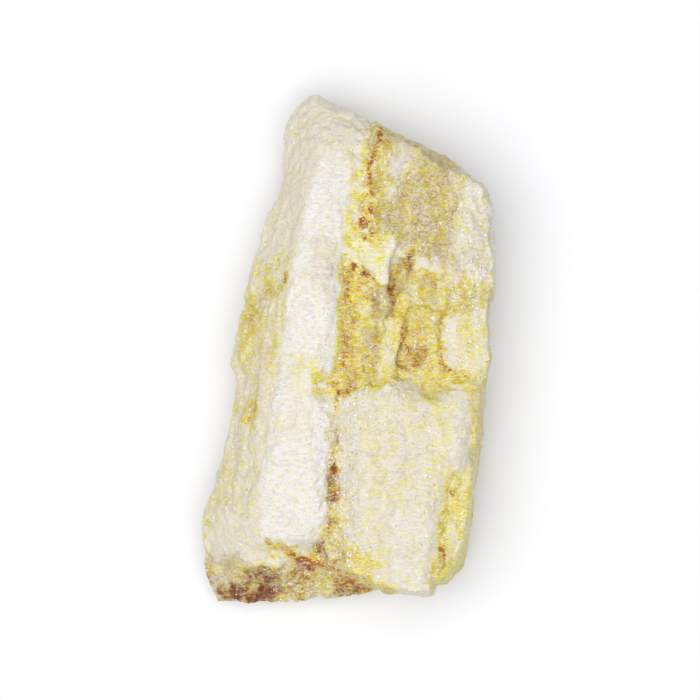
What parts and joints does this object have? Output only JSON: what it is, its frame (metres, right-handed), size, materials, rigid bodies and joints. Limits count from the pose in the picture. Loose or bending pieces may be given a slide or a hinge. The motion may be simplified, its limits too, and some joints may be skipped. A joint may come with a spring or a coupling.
{
  "type": "petalite crystal",
  "caption": "Rough cleavage fragment of petalite: a long pale crystal with a raised rib, a stained seam and hollow, stepped plates and a flat back to rest on",
  "frame": {"origin": "middle of the bounding box in X and Y, on the plane of the flat back that the fragment rests on", "axes": "+Y along the crystal towards its slanting end, +X towards the side of the large flat block, +Z out of the weathered front"},
  "size_m": [0.0368, 0.064, 0.0181],
  "materials": {
    "petalite": "rough, faintly pearly cleavage"
  },
  "bodies": {
    "root": {"petalite_crystal": "petalite"}
  },
  "joints": []
}
